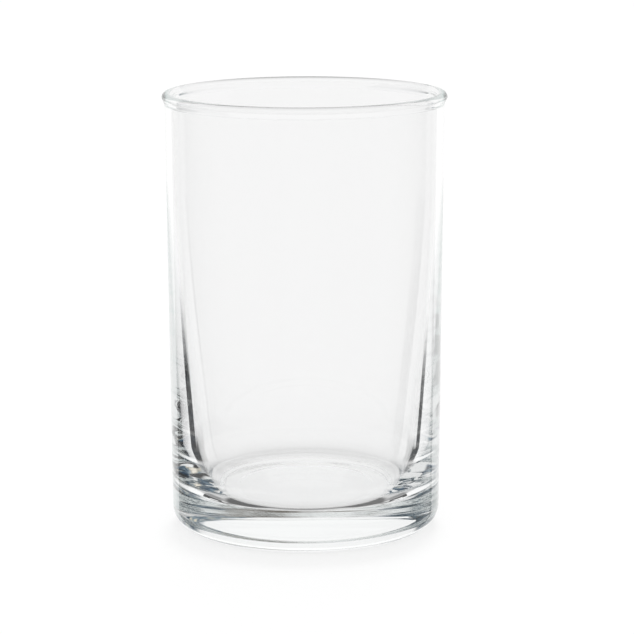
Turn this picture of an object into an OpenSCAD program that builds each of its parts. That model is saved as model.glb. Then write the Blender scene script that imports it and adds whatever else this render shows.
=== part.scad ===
// Small straight-sided tumbler in clear pressed glass, for layered desserts and short drinks.
// One piece of glass, round about the Z axis, standing on Z = 0. All sizes are in millimetres.

/* [Outside] */
// Height from the table to the top of the rim
glass_h = 77.6; // [60:0.1:120]
// Outside diameter of the wall where it meets the rim bead
top_d = 49; // [42:0.1:64]
// Outside diameter of the wall where it meets the rounded heel
foot_d = 47.7; // [42:0.1:64]
// Radius of the rounded heel that turns the wall under
heel_r = 3.7; // [1:0.1:8]

/* [Rim] */
// Height of the rounded bead round the rim
bead_h = 2.2; // [1.6:0.1:5]
// How far the bead stands out from the wall below it
bead_proud = 0.5; // [0.1:0.05:1.2]
// Thickness of the wall under the bead
rim_wall = 1.25; // [0.8:0.05:2]

/* [Inside] */
// Height of the even wall below the bead, above the part that thickens
even_h = 13.4; // [2:0.1:35]
// Thickness that the wall grows to at the level of the inside floor
foot_wall = 5.05; // [2.5:0.05:8]
// How late the wall thickens: 1 is a straight taper, more keeps it thin for longer
taper_curve = 1.8; // [1:0.1:3]
// Thickness of the base, from the table to the inside floor
base_t = 7; // [4:0.1:18]
// Width of the curve that turns the inside wall into the floor
corner_w = 1.5; // [0.5:0.1:5]
// Height of that curve
corner_h = 9; // [0.5:0.1:14]

/* [Underside] */
// Width of the flat ring that the glass stands on
land_w = 2.55; // [1:0.05:5]
// Depth of the shallow recess inside that ring
recess_depth = 0.4; // [0.2:0.05:2]
// Width of the soft step up into the recess
step_w = 2.2; // [0.4:0.1:4]
// Distance from the step in to the fine mould ring
ring_inset = 2.6; // [1:0.1:6]
// Width of the mould ring
ring_w = 1.6; // [0.3:0.1:2.4]
// Height of the mould ring
ring_h = 0.05; // [0.02:0.01:0.2]

/* [Hidden] */

// Steps round the glass, and along each kind of curve in its section
round_steps = 180;
heel_steps = 16;
bead_steps = 8;
lip_steps = 24;
taper_steps = 28;
corner_steps = 18;
step_steps = 8;
ring_steps = 8;

top_r = top_d / 2;
foot_r = foot_d / 2;
bead_base = glass_h - bead_h;
wall_rise = bead_base - heel_r;
outer_slope = (top_r - foot_r) / wall_rise;
outer_lean = atan(outer_slope);

// The rim is a full round as thick as the wall and the bead together
lip_r = (rim_wall + bead_proud) / 2;
lip_mid_r = top_r + bead_proud - lip_r;
lip_mid_z = glass_h - lip_r;

// The wall thickens between these two levels
taper_top = bead_base - even_h;
taper_h = taper_top - base_t;
taper_gain = foot_wall - rim_wall;

corner_top = base_t + corner_h;

heel_mid_r = foot_r - heel_r * cos(outer_lean);
land_in_r = heel_mid_r - land_w;
recess_r = land_in_r - step_w;
ring_r = recess_r - ring_inset;

// Smooth rise from 0 to 1, level at both ends
function ease(s) = (1 - cos(180 * s)) / 2;

function arc(mid_r, mid_z, r, from, to, steps) =
    [for (i = [0 : steps])
        let (a = from + (to - from) * i / steps)
        [mid_r + r * cos(a), mid_z + r * sin(a)]];

// Outside radius of the leaning wall at height z
function outer_r(z) = top_r - outer_slope * (bead_base - z);

// Share of the way down the thickening wall at height z, 0 at its top and 1 at the floor
function taper_share(z) = max(0, (taper_top - z) / taper_h);

function wall_t(z) = rim_wall + taper_gain * pow(taper_share(z), taper_curve);

function inner_r(z) = outer_r(z) - wall_t(z);

function underside() = concat(
    [[0, recess_depth]],
    [for (i = [0 : ring_steps])
        let (s = i / ring_steps)
        [ring_r + ring_w * (s - 0.5), recess_depth - ring_h * ease(1 - abs(2 * s - 1))]],
    [for (i = [0 : step_steps])
        let (s = i / step_steps)
        [recess_r + step_w * s, recess_depth * ease(1 - s)]]);

function heel() = arc(heel_mid_r, heel_r, heel_r, -90, -outer_lean, heel_steps);

function bead() =
    [for (i = [0 : bead_steps])
        let (s = i / bead_steps)
        [top_r + bead_proud * ease(s), bead_base + (lip_mid_z - bead_base) * s]];

// The lip starts above the bead's last point, which lies on the same circle
function lip() = [for (i = [1 : lip_steps])
    let (a = 180 * i / lip_steps)
    [lip_mid_r + lip_r * cos(a), lip_mid_z + lip_r * sin(a)]];

// Down the inside: the even wall, then the thickening wall to the corner
function inside_wall() = concat(
    [[inner_r(bead_base), bead_base]],
    [for (i = [0 : taper_steps - 1])
        let (z = taper_top + (corner_top - taper_top) * i / taper_steps)
        [inner_r(z), z]]);

// A quarter of an ellipse, taller than wide, that leaves the wall smoothly and meets the floor level
function inside_corner() =
    [for (i = [0 : corner_steps])
        let (a = 90 * i / corner_steps, z = corner_top - corner_h * sin(a))
        [inner_r(z) - corner_w * (1 - cos(a)), z]];

function section() = concat(
    underside(), heel(), bead(), lip(), inside_wall(), inside_corner(), [[0, base_t]]);

module tumbler() {
    color([0.93, 0.96, 0.95, 0.35])
        rotate_extrude($fn = round_steps)
            polygon(section());
}

tumbler();
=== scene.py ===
import math

import bpy
from mathutils import Euler, Matrix, Vector


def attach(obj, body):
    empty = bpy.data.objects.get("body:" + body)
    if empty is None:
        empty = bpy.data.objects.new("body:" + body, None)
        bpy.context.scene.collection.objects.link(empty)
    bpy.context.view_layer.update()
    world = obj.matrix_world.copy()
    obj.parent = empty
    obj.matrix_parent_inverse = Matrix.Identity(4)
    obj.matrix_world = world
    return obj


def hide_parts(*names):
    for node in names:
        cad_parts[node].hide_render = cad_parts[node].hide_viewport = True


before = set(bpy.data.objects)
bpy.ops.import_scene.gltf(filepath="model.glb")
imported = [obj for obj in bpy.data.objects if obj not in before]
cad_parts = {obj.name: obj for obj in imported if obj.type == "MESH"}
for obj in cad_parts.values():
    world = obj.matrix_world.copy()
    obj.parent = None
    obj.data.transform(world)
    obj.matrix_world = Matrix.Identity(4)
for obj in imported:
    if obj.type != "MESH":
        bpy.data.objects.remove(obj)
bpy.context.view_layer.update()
mm = 0.001         # the sizes below are in millimetres, Blender works in metres
nodeSpacing = 180  # shader nodes stand in a row in the editor, this far apart
white = (1.0, 1.0, 1.0, 1.0)


def note(text):
    print("[tumbler] " + text)


def grey(value):
    return (value, value, value, 1.0)


def greyStops(tones):
    return [(place, grey(tone)) for place, tone in tones]


def addNode(tree, kind, **settings):
    node = tree.nodes.new(kind)
    node.location = (nodeSpacing * len(tree.nodes), 0)
    for name, value in settings.items():
        setattr(node, name, value)
    return node


def feed(tree, socket, value):
    # a plain number or colour is set on the socket, anything else is linked to it
    if isinstance(value, (int, float, tuple)):
        socket.default_value = value
    else:
        tree.links.new(value, socket)


def mathNode(tree, operation, *values):
    node = addNode(tree, "ShaderNodeMath", operation=operation)
    for socket, value in zip(node.inputs, values):
        feed(tree, socket, value)
    return node.outputs[0]


def moreThan(tree, count, limit):
    # counts are whole numbers, so the test sits half way to the next one
    return mathNode(tree, "GREATER_THAN", count, limit + 0.5)


def rise01(tree, value, start, end):
    # 0 before start, 1 after end, smooth between
    ramp = addNode(tree, "ShaderNodeMapRange", interpolation_type="SMOOTHSTEP")
    ramp.inputs["From Min"].default_value = start
    ramp.inputs["From Max"].default_value = end
    feed(tree, ramp.inputs["Value"], value)
    return ramp.outputs["Result"]


def within(tree, value, low, high, soft):
    # 1 between low and high, with soft edges
    above = rise01(tree, value, low - soft, low + soft)
    below = rise01(tree, value, high + soft, high - soft)
    return mathNode(tree, "MULTIPLY", above, below)


def mixColour(tree, mask, first, second):
    # the mix node has sockets of one name for each data type, so its colour ones go by number
    mix = addNode(tree, "ShaderNodeMix", data_type="RGBA")
    feed(tree, mix.inputs["Factor"], mask)
    feed(tree, mix.inputs[6], first)
    feed(tree, mix.inputs[7], second)
    return mix.outputs[2]


def colourRamp(tree, value, stops):
    node = addNode(tree, "ShaderNodeValToRGB")
    ramp = node.color_ramp
    while len(ramp.elements) < len(stops):
        ramp.elements.new(0.5)
    for element, (place, colour) in zip(ramp.elements, stops):
        element.position = place
        element.color = colour
    feed(tree, node.inputs["Fac"], value)
    return node.outputs["Color"]


# camera, placed from the photo's rim and base curves
cameraSet = {
    "place": (2.08, -500.0, 134.0),
    "pitchDown": 10.94,
    "roll": -0.144,
    "lens": 162.85,
    "sensor": 36.0,
    "clip": (10.0, 20000.0),
}


def makeCamera():
    turn = Euler((math.radians(90 - cameraSet["pitchDown"]), 0, 0)).to_matrix()
    roll = Matrix.Rotation(math.radians(cameraSet["roll"]), 3, "Z")
    bpy.ops.object.camera_add(location=[v * mm for v in cameraSet["place"]])
    camera = bpy.context.object
    camera.name = "photoCamera"
    camera.rotation_euler = (turn @ roll).to_euler()
    camera.data.lens = cameraSet["lens"]
    camera.data.sensor_width = cameraSet["sensor"]
    camera.data.clip_start, camera.data.clip_end = [v * mm for v in cameraSet["clip"]]
    bpy.context.scene.camera = camera
    note("camera placed")


# tumbler, the same sizes as the solid it stands for
tumblerSizes = {
    "height": 77.6,
    "topDiameter": 49.0,
    "footDiameter": 47.7,
    "heelRadius": 3.7,
    "beadHeight": 2.2,
    "beadProud": 0.5,
    "rimWall": 1.25,
    "evenHeight": 13.4,
    "footWall": 5.05,
    "taperCurve": 1.8,
    "baseThickness": 7.0,
    "cornerWidth": 1.5,
    "cornerHeight": 9.0,
    "landWidth": 2.55,
    "recessDepth": 0.4,
    "stepWidth": 2.2,
    "ringInset": 2.6,
    "ringWidth": 1.6,
    "ringHeight": 0.05,
    "edgeSupport": 0.12,   # rows this close to each round keep the flats flat
    "mergeWithin": 0.002,  # the spin's seam and poles are closed within this
}

# rows of faces round the axis and along each stretch of the section
tumblerRows = {
    "spin": 192,
    "recess": 6,
    "ring": 12,
    "step": 14,
    "heel": 28,
    "outerWall": 64,
    "bead": 12,
    "lip": 32,
    "evenWall": 14,
    "taper": 72,
    "corner": 36,
    "floor": 10,
}


def ease(share):
    return (1 - math.cos(math.pi * share)) / 2


def shares(steps):
    # evenly from 0 to 1, both ends included
    return [i / steps for i in range(steps + 1)]


def arcPoints(midR, midZ, radius, start, end, steps):
    points = []
    for share in shares(steps):
        a = math.radians(start + (end - start) * share)
        points.append((midR + radius * math.cos(a), midZ + radius * math.sin(a)))
    return points


def rowPoints(first, last, steps):
    # points strictly between two corners of the section
    return [tuple(a + (b - a) * share for a, b in zip(first, last)) for share in shares(steps)[1:-1]]


def tumblerSection(s, rows):
    topR = s["topDiameter"] / 2
    footR = s["footDiameter"] / 2
    beadBase = s["height"] - s["beadHeight"]
    outerSlope = (topR - footR) / (beadBase - s["heelRadius"])
    outerLean = math.degrees(math.atan(outerSlope))
    lipR = (s["rimWall"] + s["beadProud"]) / 2
    lipMidR = topR + s["beadProud"] - lipR
    lipMidZ = s["height"] - lipR
    taperTop = beadBase - s["evenHeight"]
    taperHeight = taperTop - s["baseThickness"]
    taperGain = s["footWall"] - s["rimWall"]
    support = s["edgeSupport"]

    def innerR(z):
        share = max(0.0, (taperTop - z) / taperHeight)
        wall = s["rimWall"] + taperGain * share ** s["taperCurve"]
        return topR - outerSlope * (beadBase - z) - wall

    cornerTop = s["baseThickness"] + s["cornerHeight"]
    heelMidR = footR - s["heelRadius"] * math.cos(math.radians(outerLean))
    landInR = heelMidR - s["landWidth"]
    recessR = landInR - s["stepWidth"]
    ringR = recessR - s["ringInset"]

    # underside, from the axis out over the mould ring and the step to the standing ring
    ringIn = ringR - s["ringWidth"] / 2
    ringOut = ringR + s["ringWidth"] / 2
    points = [(0.0, s["recessDepth"])]
    points += rowPoints(points[-1], (ringIn - support, s["recessDepth"]), rows["recess"])
    points.append((ringIn - support, s["recessDepth"]))
    for share in shares(rows["ring"]):
        drop = s["ringHeight"] * ease(1 - abs(2 * share - 1))
        points.append((ringIn + s["ringWidth"] * share, s["recessDepth"] - drop))
    points.append((ringOut + support, s["recessDepth"]))
    points.append((recessR - support, s["recessDepth"]))
    for share in shares(rows["step"]):
        points.append((recessR + s["stepWidth"] * share, s["recessDepth"] * ease(1 - share)))
    points.append((landInR + support, 0.0))
    points.append((heelMidR - support, 0.0))

    # heel, outer wall, bead and lip
    points += arcPoints(heelMidR, s["heelRadius"], s["heelRadius"], -90, -outerLean, rows["heel"])
    wallFootR, wallFootZ = points[-1]
    wallTop = (topR - outerSlope * support, beadBase - support)
    points.append((wallFootR + outerSlope * support, wallFootZ + support))
    points += rowPoints(points[-1], wallTop, rows["outerWall"])
    points.append(wallTop)
    for share in shares(rows["bead"])[:-1]:
        points.append((topR + s["beadProud"] * ease(share), beadBase + (lipMidZ - beadBase) * share))
    points += arcPoints(lipMidR, lipMidZ, lipR, 0, 180, rows["lip"])

    # inner wall, corner and floor
    points.append((innerR(beadBase), beadBase))
    points += rowPoints(points[-1], (innerR(taperTop), taperTop), rows["evenWall"])
    for share in shares(rows["taper"])[:-1]:
        z = taperTop + (cornerTop - taperTop) * share
        points.append((innerR(z), z))
    for share in shares(rows["corner"]):
        a = math.radians(90 * share)
        z = cornerTop - s["cornerHeight"] * math.sin(a)
        points.append((innerR(z) - s["cornerWidth"] * (1 - math.cos(a)), z))
    points.append((points[-1][0] - support, s["baseThickness"]))
    points += rowPoints(points[-1], (0.0, s["baseThickness"]), rows["floor"])
    points.append((0.0, s["baseThickness"]))
    return points


def makeTumbler():
    section = tumblerSection(tumblerSizes, tumblerRows)
    bpy.ops.object.select_all(action="DESELECT")
    bpy.ops.mesh.primitive_plane_add(size=mm, location=(0, 0, 0))
    tumbler = bpy.context.object
    tumbler.name = "clearTumbler"
    # the plane shrinks to one point, which is drawn out along the section and spun
    bpy.ops.object.mode_set(mode="EDIT")
    bpy.ops.mesh.select_all(action="SELECT")
    bpy.ops.mesh.merge(type="CENTER")
    lastR, lastZ = 0.0, 0.0
    for index, (r, z) in enumerate(section):
        move = ((r - lastR) * mm, 0, (z - lastZ) * mm)
        if index == 0:
            bpy.ops.transform.translate(value=move)
        else:
            bpy.ops.mesh.extrude_vertices_move(TRANSFORM_OT_translate={"value": move})
        lastR, lastZ = r, z
    bpy.ops.mesh.select_all(action="SELECT")
    bpy.ops.mesh.spin(steps=tumblerRows["spin"], angle=math.tau, center=(0, 0, 0), axis=(0, 0, 1))
    bpy.ops.mesh.select_all(action="SELECT")
    bpy.ops.mesh.remove_doubles(threshold=tumblerSizes["mergeWithin"] * mm)
    bpy.ops.mesh.select_all(action="SELECT")
    bpy.ops.mesh.normals_make_consistent(inside=False)
    bpy.ops.object.mode_set(mode="OBJECT")
    bpy.ops.object.shade_smooth()
    tumbler.data.materials.append(makeClearGlass())
    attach(tumbler, "root")
    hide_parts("tumbler")
    note("tumbler spun, %d faces" % len(tumbler.data.polygons))


clearGlass = {
    "ior": 1.52,
    "tint": (0.90, 0.96, 0.95, 1.0),
    "density": 4.0,
    "wallPass": 0.985,       # share of a lamp's light that crosses one face of the wall
    "heelPass": 0.84,        # and of the thick heel, which bends some of it away
    "heelTop": (5.0, 9.0),   # heights over which the heel's share gives way to the wall's
    "heelIn": (17.0, 20.0),  # radii over which it begins
}


def makeClearGlass():
    s = clearGlass
    material = bpy.data.materials.new("clearPressedGlass")
    material.use_nodes = True
    tree = material.node_tree
    tree.nodes.clear()
    glass = addNode(tree, "ShaderNodeBsdfPrincipled")
    glass.inputs["Base Color"].default_value = white
    glass.inputs["Roughness"].default_value = 0.0
    glass.inputs["IOR"].default_value = s["ior"]
    glass.inputs["Transmission Weight"].default_value = 1.0

    # light on its way to the floor goes straight through, less of it through the heel
    where = addNode(tree, "ShaderNodeTexCoord")
    split = addNode(tree, "ShaderNodeSeparateXYZ")
    tree.links.new(where.outputs["Object"], split.inputs[0])
    low, high = [z * mm for z in s["heelTop"]]
    inner, outer = [r * mm for r in s["heelIn"]]
    radius = mathNode(tree, "POWER", split.outputs["X"], 2.0)
    radius = mathNode(tree, "ADD", radius, mathNode(tree, "POWER", split.outputs["Y"], 2.0))
    radius = mathNode(tree, "SQRT", radius)
    belowTop = rise01(tree, split.outputs["Z"], high, low)
    inHeel = mathNode(tree, "MULTIPLY", belowTop, rise01(tree, radius, inner, outer))
    passTone = mixColour(tree, inHeel, grey(s["wallPass"]), grey(s["heelPass"]))
    lampPass = addNode(tree, "ShaderNodeBsdfTransparent")
    tree.links.new(passTone, lampPass.inputs["Color"])
    path = addNode(tree, "ShaderNodeLightPath")
    surface = glass.outputs[0]
    for kind in ("Is Shadow Ray", "Is Diffuse Ray"):
        mix = addNode(tree, "ShaderNodeMixShader")
        tree.links.new(path.outputs[kind], mix.inputs["Fac"])
        tree.links.new(surface, mix.inputs[1])
        tree.links.new(lampPass.outputs[0], mix.inputs[2])
        surface = mix.outputs[0]

    # the faint tint gathers with the depth of the glass
    body = addNode(tree, "ShaderNodeVolumeAbsorption")
    body.inputs["Color"].default_value = s["tint"]
    body.inputs["Density"].default_value = s["density"]
    out = addNode(tree, "ShaderNodeOutputMaterial")
    tree.links.new(surface, out.inputs["Surface"])
    tree.links.new(body.outputs[0], out.inputs["Volume"])
    return material


# studio round the glass, white to the camera, with painted reflections and painted shade that only the
# glass shows; in degrees: turn is the bearing from straight behind it, rise the height
studioSet = {
    "horizon": (-4.0, 5.0),
    "skyMirrored": 0.90,
    "skyTurned": 0.97,
    "skyThrough": 0.95,
    "caughtTone": 0.80,
    "trappedTone": 0.75,
    "floorLight": 0.5,   # strength of the studio where it lights the floor
    "patchDetail": 3.0,  # how broken the painted patches of the dim room are
    "bodyFaces": 2,      # faces crossed by light that goes into the glass once and out again
    "turnedMost": 3,     # light reflected in the glass up to this often is turned,
    "fewMost": 7,        # up to this often it is caught a few times,
    "caughtMost": 14,    # and past this it is trapped
}

# painted reflections, seen only in the glass: tones by bearing that the faces mirror faintly, white sheet
# behind, dimmer sides, the front between
paintedMirrorTones = [
    (-180, 0.75), (-112, 0.75), (-95, 0.70), (-75, 0.68), (-50, 0.62), (-47, 0.60), (-38.5, 0.60),
    (-36.5, 1.00), (39.5, 1.00), (41, 0.60), (44, 0.60), (48, 0.62), (75, 0.68), (95, 0.70), (112, 0.75),
    (180, 0.75),
]
# painted dark reflections: the dark gaps beside the white sheet, as the outer edges of the wall mirror
# them
paintedMirrorShades = [
    {"turn": (-60, -38), "rise": (-40, -11), "tone": 0.05, "soft": (1, 1.5)},
    {"turn": (40.5, 45), "rise": (-40, -11), "tone": 0.05, "soft": (1, 1.5)},
]

# painted reflections, seen only in the glass: tones by bearing that the thick glass turns into view from
# the table
paintedTableTones = [
    (-180, 0.75), (-118, 0.75), (-106, 0.85), (-49, 0.85), (-46, 1.05), (44, 1.05), (46, 0.90),
    (106, 0.90), (118, 0.75), (180, 0.75),
]
# painted shade and reflection, seen only in the glass: the dim room above the white sheet, whose top
# slants through two points (turn, rise) on each side, a paler stretch further round on the right, and a
# dim patch overhead
paintedDimSides = [
    {"turn": (25, 58), "rise": (3, 50), "look": "marble", "soft": (2, 2.5),
     "sheet": ((28, 27), (48, 7))},
    {"turn": (58, 104), "rise": (3, 50), "tone": 0.55, "soft": (3, 1.5)},
    {"turn": (-112, -33), "rise": (3, 50), "look": "teal", "soft": (1.5, 2),
     "sheet": ((-40, 34), (-48, 8))},
    {"turn": (-62, 50), "rise": (52, 78), "look": "brown", "soft": (8, 4)},
]
# painted shade in the glass: the dark room in front, low down on both sides
paintedFrontShade = [
    {"turn": (-210, -104), "rise": (-5, 9), "tone": 0.08, "soft": (14, 2.5)},
    {"turn": (104, 210), "rise": (-5, 9), "tone": 0.08, "soft": (14, 2.5)},
]
# painted dark reflections that make the dark strips along the wall: the gaps between the white sheet and
# the table's pale sides
paintedDarkGaps = [
    {"turn": (-47.5, -37), "rise": (-34, -20), "tone": 0.03, "soft": (0.7, 4)},
    {"turn": (-62, -37), "rise": (-36, -28.3), "tone": 0.03, "soft": (0.7, 1)},
    {"turn": (38.5, 45.5), "rise": (-34, -22), "tone": 0.03, "soft": (0.7, 3)},
    {"turn": (38.5, 62), "rise": (-36, -28.8), "tone": 0.03, "soft": (0.7, 0.8)},
]
# painted shadow, seen only through the glass: the table close under the glass, dark where the base shades
# it
paintedTableShadow = [
    {"turn": (-190, 190), "rise": (-100, -36), "tone": 0.65, "soft": (1, 2)},
    {"turn": (-64, -34), "rise": (-43, -36), "tone": 0.28, "soft": (5, 2)},
    {"turn": (34, 64), "rise": (-43, -36), "tone": 0.28, "soft": (5, 2)},
    {"turn": (-135, -66), "rise": (-61, -36), "tone": 0.10, "soft": (6, 3)},
    {"turn": (66, 135), "rise": (-61, -36), "tone": 0.14, "soft": (6, 3)},
    {"turn": (-190, -115), "rise": (-100, -58), "tone": 0.30, "soft": (6, 3)},
    {"turn": (115, 190), "rise": (-100, -58), "tone": 0.30, "soft": (6, 3)},
]

# painted shade, seen only through the glass: the same dim room, seen through the corners of the base with
# no reflection on the way
paintedStraightShades = [
    {"turn": (43, 100), "rise": (3, 40), "look": "marble", "soft": (3, 3)},
    {"turn": (-100, -45), "rise": (3, 40), "look": "teal", "soft": (3, 3)},
]

# painted shade and glints inside the glass: what light caught in the wall and the corner of the base
# comes out towards
paintedCaughtShades = [
    {"turn": (50, 150), "rise": (-35, 24), "tone": 0.04, "soft": (4, 2)},
    {"turn": (150, 172), "rise": (9, 24), "tone": 0.04, "soft": (4, 2)},
    {"turn": (80, 101), "rise": (2, 12), "tone": 0.95, "soft": (2, 2)},
    {"turn": (50, 140), "rise": (22, 46), "look": "haze", "soft": (4, 3)},
    {"turn": (140, 190), "rise": (22, 40), "look": "dusk", "soft": (4, 2)},
    {"turn": (-140, -45), "rise": (22, 46), "look": "dusk", "soft": (4, 3)},
    {"turn": (-190, -140), "rise": (22, 40), "look": "dusk", "soft": (4, 2)},
    {"turn": (-92, -68), "rise": (31, 48), "tone": 0.65, "soft": (3, 3)},
    {"turn": (-12, 40), "rise": (46, 71), "look": "brown", "soft": (5, 2)},
    {"turn": (40, 135), "rise": (46, 80), "look": "brown", "soft": (5, 3)},
]
# painted shade laid over those for light that is caught only a few times
paintedFewShades = [
    {"turn": (45, 135), "rise": (10, 36), "look": "haze", "soft": (4, 2)},
    {"turn": (-92, -45), "rise": (24, 46), "look": "haze", "soft": (4, 3)},
    {"turn": (-170, -95), "rise": (9, 24), "look": "haze", "soft": (4, 3)},
    {"turn": (-190, 190), "rise": (46, 95), "tone": 0.90, "soft": (1, 3)},
    {"turn": (-12, 40), "rise": (46, 71), "look": "brown", "soft": (5, 2)},
    {"turn": (40, 170), "rise": (46, 95), "look": "brown", "soft": (5, 3)},
    {"turn": (-150, -95), "rise": (48, 69), "look": "brown", "soft": (3, 2)},
    {"turn": (-42, -12), "rise": (63, 71), "look": "brown", "soft": (3, 1.5)},
]
# and painted shade for light that is trapped for longer still
paintedTrappedShades = [
    {"turn": (100, 165), "rise": (-5, 18), "tone": 0.45, "soft": (4, 3)},
    {"turn": (-190, 190), "rise": (24, 60), "look": "dusk", "soft": (1, 3)},
    {"turn": (-190, 190), "rise": (46, 95), "tone": 0.85, "soft": (1, 3)},
    {"turn": (40, 135), "rise": (46, 95), "look": "brown", "soft": (4, 3)},
]

# painted reflections with tinted glints: the uneven tones of the dim room, from its dark patches to its
# lightest ones
paintedRoomLooks = {
    "marble": {"scale": 16.0, "stops": [
        (0.32, (0.010, 0.016, 0.026, 1.0)), (0.44, (0.06, 0.10, 0.15, 1.0)),
        (0.52, (0.20, 0.28, 0.33, 1.0)), (0.60, (0.42, 0.44, 0.40, 1.0)),
        (0.70, (0.80, 0.70, 0.55, 1.0))]},
    "teal": {"scale": 13.0, "stops": [
        (0.36, (0.004, 0.010, 0.014, 1.0)), (0.50, (0.025, 0.055, 0.075, 1.0)),
        (0.62, (0.09, 0.15, 0.19, 1.0)), (0.74, (0.40, 0.45, 0.45, 1.0))]},
    "haze": {"scale": 3.5, "stops": [
        (0.34, (0.015, 0.020, 0.030, 1.0)), (0.45, (0.06, 0.10, 0.15, 1.0)),
        (0.53, (0.22, 0.29, 0.34, 1.0)), (0.60, (0.48, 0.45, 0.38, 1.0)),
        (0.68, (0.90, 0.84, 0.74, 1.0))]},
    "dusk": {"scale": 3.5, "stops": [
        (0.36, (0.004, 0.010, 0.014, 1.0)), (0.50, (0.018, 0.042, 0.055, 1.0)),
        (0.60, (0.06, 0.11, 0.15, 1.0)), (0.72, (0.28, 0.33, 0.34, 1.0))]},
    "brown": {"scale": 5.0, "stops": [
        (0.35, (0.06, 0.050, 0.040, 1.0)), (0.52, (0.11, 0.096, 0.080, 1.0)),
        (0.68, (0.20, 0.18, 0.15, 1.0))]},
}


def bearingTones(tree, turn, tones):
    # the ramp holds one full turn, with straight behind at its middle
    place = mathNode(tree, "MULTIPLY_ADD", turn, 1 / 360, 0.5)
    return colourRamp(tree, place, greyStops([(angle / 360 + 0.5, tone) for angle, tone in tones]))


def paintedRoomColour(tree, where, look):
    noise = addNode(tree, "ShaderNodeTexNoise")
    noise.inputs["Scale"].default_value = look["scale"]
    noise.inputs["Detail"].default_value = studioSet["patchDetail"]
    tree.links.new(where, noise.inputs["Vector"])
    return colourRamp(tree, noise.outputs["Fac"], look["stops"])


def sectorMask(tree, turn, rise, sector):
    turnSoft, riseSoft = sector["soft"]
    mask = within(tree, turn, *sector["turn"], turnSoft)
    mask = mathNode(tree, "MULTIPLY", mask, within(tree, rise, *sector["rise"], riseSoft))
    if "sheet" in sector:
        (turn0, rise0), (turn1, rise1) = sector["sheet"]
        slope = (rise1 - rise0) / (turn1 - turn0)
        top = mathNode(tree, "MULTIPLY_ADD", turn, slope, rise0 - slope * turn0)
        above = rise01(tree, mathNode(tree, "SUBTRACT", rise, top), -riseSoft, riseSoft)
        mask = mathNode(tree, "MULTIPLY", mask, above)
    return mask


def makeWorld():
    s = studioSet
    world = bpy.data.worlds.new("paleStudio")
    bpy.context.scene.world = world
    world.use_nodes = True
    tree = world.node_tree
    tree.nodes.clear()
    where = addNode(tree, "ShaderNodeTexCoord")
    split = addNode(tree, "ShaderNodeSeparateXYZ")
    tree.links.new(where.outputs["Generated"], split.inputs[0])
    turn = mathNode(tree, "ARCTAN2", split.outputs["X"], split.outputs["Y"])
    turn = mathNode(tree, "MULTIPLY", turn, math.degrees(1))
    rise = mathNode(tree, "ARCSINE", split.outputs["Z"])
    rise = mathNode(tree, "MULTIPLY", rise, math.degrees(1))
    upper = rise01(tree, rise, *s["horizon"])
    path = addNode(tree, "ShaderNodeLightPath")
    reflections = path.outputs["Glossy Depth"]
    crossings = path.outputs["Transmission Depth"]
    toFloor = path.outputs["Is Diffuse Ray"]

    def shadeSectors(colour, sectors):
        for sector in sectors:
            shade = grey(sector.get("tone", 0.0))
            if "look" in sector:
                shade = paintedRoomColour(tree, where.outputs["Generated"], paintedRoomLooks[sector["look"]])
            colour = mixColour(tree, sectorMask(tree, turn, rise, sector), colour, shade)
        return colour

    # the painted faint reflection on the faces
    faint = mixColour(tree, upper, bearingTones(tree, turn, paintedMirrorTones), grey(s["skyMirrored"]))
    faint = shadeSectors(faint, paintedMirrorShades)

    # painted reflections that the thick wall and base turn into view: the dim room, the table, and its
    # gaps at one reflection
    turned = mixColour(tree, upper, bearingTones(tree, turn, paintedTableTones), grey(s["skyTurned"]))
    turned = shadeSectors(turned, paintedDimSides + paintedFrontShade)
    turned = mixColour(tree, moreThan(tree, reflections, 1), shadeSectors(turned, paintedDarkGaps), turned)
    turned = shadeSectors(turned, paintedTableShadow)

    # painted shade for light caught a few times, more often, and for longer still
    often = shadeSectors(grey(s["caughtTone"]), paintedCaughtShades)
    fewTimes = shadeSectors(often, paintedFewShades)
    trapped = shadeSectors(grey(s["trappedTone"]), paintedTrappedShades)
    caught = mixColour(tree, moreThan(tree, reflections, s["fewMost"]), fewTimes, often)
    caught = mixColour(tree, moreThan(tree, reflections, s["caughtMost"]), caught, trapped)

    # each path gets its own painted surround: mirrored, turned or caught, or else straight through or
    # past the glass, which the camera sees plain white
    throughBody = mathNode(tree, "COMPARE", crossings, s["bodyFaces"], 0.5)
    reflected = mixColour(tree, throughBody, faint, turned)
    reflected = mixColour(tree, moreThan(tree, reflections, s["turnedMost"]), reflected, caught)
    through = mathNode(tree, "SUBTRACT", moreThan(tree, crossings, 0), toFloor)
    straight = shadeSectors(grey(s["skyThrough"]), paintedStraightShades)
    plain = mixColour(tree, through, white, straight)
    colour = mixColour(tree, moreThan(tree, reflections, 0), plain, reflected)
    light = addNode(tree, "ShaderNodeBackground")
    tree.links.new(colour, light.inputs["Color"])
    tree.links.new(mixColour(tree, toFloor, white, grey(s["floorLight"])), light.inputs["Strength"])
    out = addNode(tree, "ShaderNodeOutputWorld")
    tree.links.new(light.outputs[0], out.inputs["Surface"])
    note("studio made")


floorSet = {
    "size": 6000.0,
    "drop": 0.02,  # below the standing ring, so that no two faces share a plane
    "albedo": 0.8,
    "glow": 0.22,
    "oneWall": 2,  # faces that light crosses in one wall of the glass
}

# painted shade: how bright the table looks through both walls, from straight down to a low angle
paintedBothWallShade = [
    (0.0, 0.34), (0.12, 0.62), (0.26, 0.72), (0.40, 0.80), (0.55, 0.89), (0.70, 0.93), (0.80, 0.935),
]
# and painted shade through one wall only, where the far rim bends it
paintedOneWallShade = [
    (0.0, 0.15), (0.12, 0.30), (0.26, 0.60), (0.40, 0.78), (0.55, 0.89), (0.70, 0.93), (0.80, 0.93),
]


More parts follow.
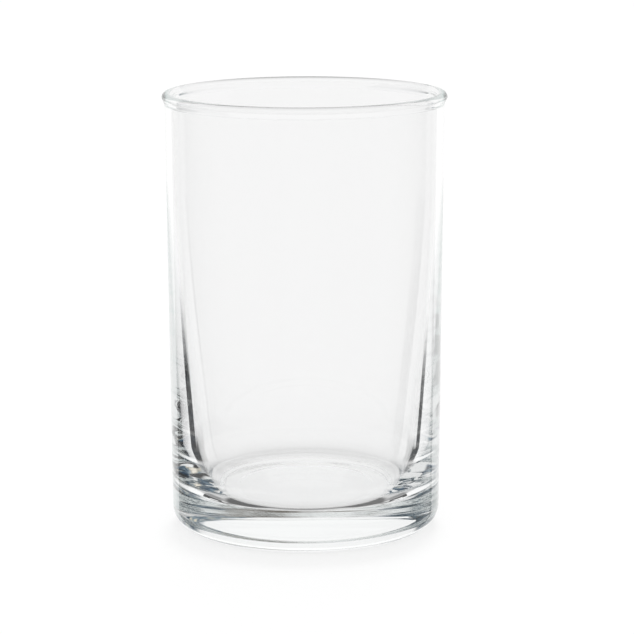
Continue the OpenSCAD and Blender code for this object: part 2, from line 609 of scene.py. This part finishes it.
def makeFloor():
    s = floorSet
    bpy.ops.object.select_all(action="DESELECT")
    bpy.ops.mesh.primitive_plane_add(size=s["size"] * mm, location=(0, 0, -s["drop"] * mm))
    floor = bpy.context.object
    floor.name = "paleFloor"
    material = bpy.data.materials.new("paleFloor")
    material.use_nodes = True
    tree = material.node_tree
    tree.nodes.clear()
    path = addNode(tree, "ShaderNodeLightPath")
    facing = addNode(tree, "ShaderNodeLayerWeight")
    crossings = path.outputs["Transmission Depth"]
    bothWalls = colourRamp(tree, facing.outputs["Facing"], greyStops(paintedBothWallShade))
    oneWall = colourRamp(tree, facing.outputs["Facing"], greyStops(paintedOneWallShade))
    # the floor seen through the glass gets painted shade, darker the more steeply it is seen
    tone = mixColour(tree, moreThan(tree, crossings, 0), white, oneWall)
    tone = mixColour(tree, moreThan(tree, crossings, s["oneWall"]), tone, bothWalls)
    paint = addNode(tree, "ShaderNodeBsdfDiffuse")
    tree.links.new(mathNode(tree, "MULTIPLY", tone, s["albedo"]), paint.inputs["Color"])
    glow = addNode(tree, "ShaderNodeEmission")
    tree.links.new(mathNode(tree, "MULTIPLY", tone, s["glow"]), glow.inputs["Strength"])
    both = addNode(tree, "ShaderNodeAddShader")
    tree.links.new(paint.outputs[0], both.inputs[0])
    tree.links.new(glow.outputs[0], both.inputs[1])

    # reflected light goes on to the studio, where the table's tones are painted for it
    unseen = addNode(tree, "ShaderNodeBsdfTransparent")
    mix = addNode(tree, "ShaderNodeMixShader")
    tree.links.new(moreThan(tree, path.outputs["Glossy Depth"], 0), mix.inputs["Fac"])
    tree.links.new(both.outputs[0], mix.inputs[1])
    tree.links.new(unseen.outputs[0], mix.inputs[2])
    out = addNode(tree, "ShaderNodeOutputMaterial")
    tree.links.new(mix.outputs[0], out.inputs["Surface"])
    floor.data.materials.append(material)
    note("floor laid")


lampSet = {
    "turn": 6.0,     # degrees right of straight behind
    "rise": 42.0,
    "spread": 24.0,  # how wide the softbox looks from the glass, in degrees
    "strength": 2.3,
}


def makeLamp():
    turn = math.radians(lampSet["turn"])
    rise = math.radians(lampSet["rise"])
    way = Vector((math.sin(turn) * math.cos(rise), math.cos(turn) * math.cos(rise), math.sin(rise)))
    bpy.ops.object.light_add(type="SUN", location=way)
    lamp = bpy.context.object
    lamp.name = "backSoftbox"
    lamp.rotation_euler = way.to_track_quat("Z", "Y").to_euler()
    lamp.data.angle = math.radians(lampSet["spread"])
    lamp.data.energy = lampSet["strength"]
    lamp.visible_camera = False
    lamp.visible_glossy = False
    lamp.visible_transmission = False
    note("lamp hung")


lookSet = {
    "glassBounces": 256,  # light in the rim bead gets out only after many reflections
    "clearBounces": 64,
}


def setLook():
    scene = bpy.context.scene
    scene.view_settings.view_transform = "Standard"
    scene.cycles.max_bounces = lookSet["glassBounces"]
    scene.cycles.glossy_bounces = lookSet["glassBounces"]
    scene.cycles.transmission_bounces = lookSet["glassBounces"]
    scene.cycles.transparent_max_bounces = lookSet["clearBounces"]
    note("look set")


makeCamera()
makeTumbler()
makeWorld()
makeFloor()
makeLamp()
setLook()

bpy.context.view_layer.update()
note("sizes written")
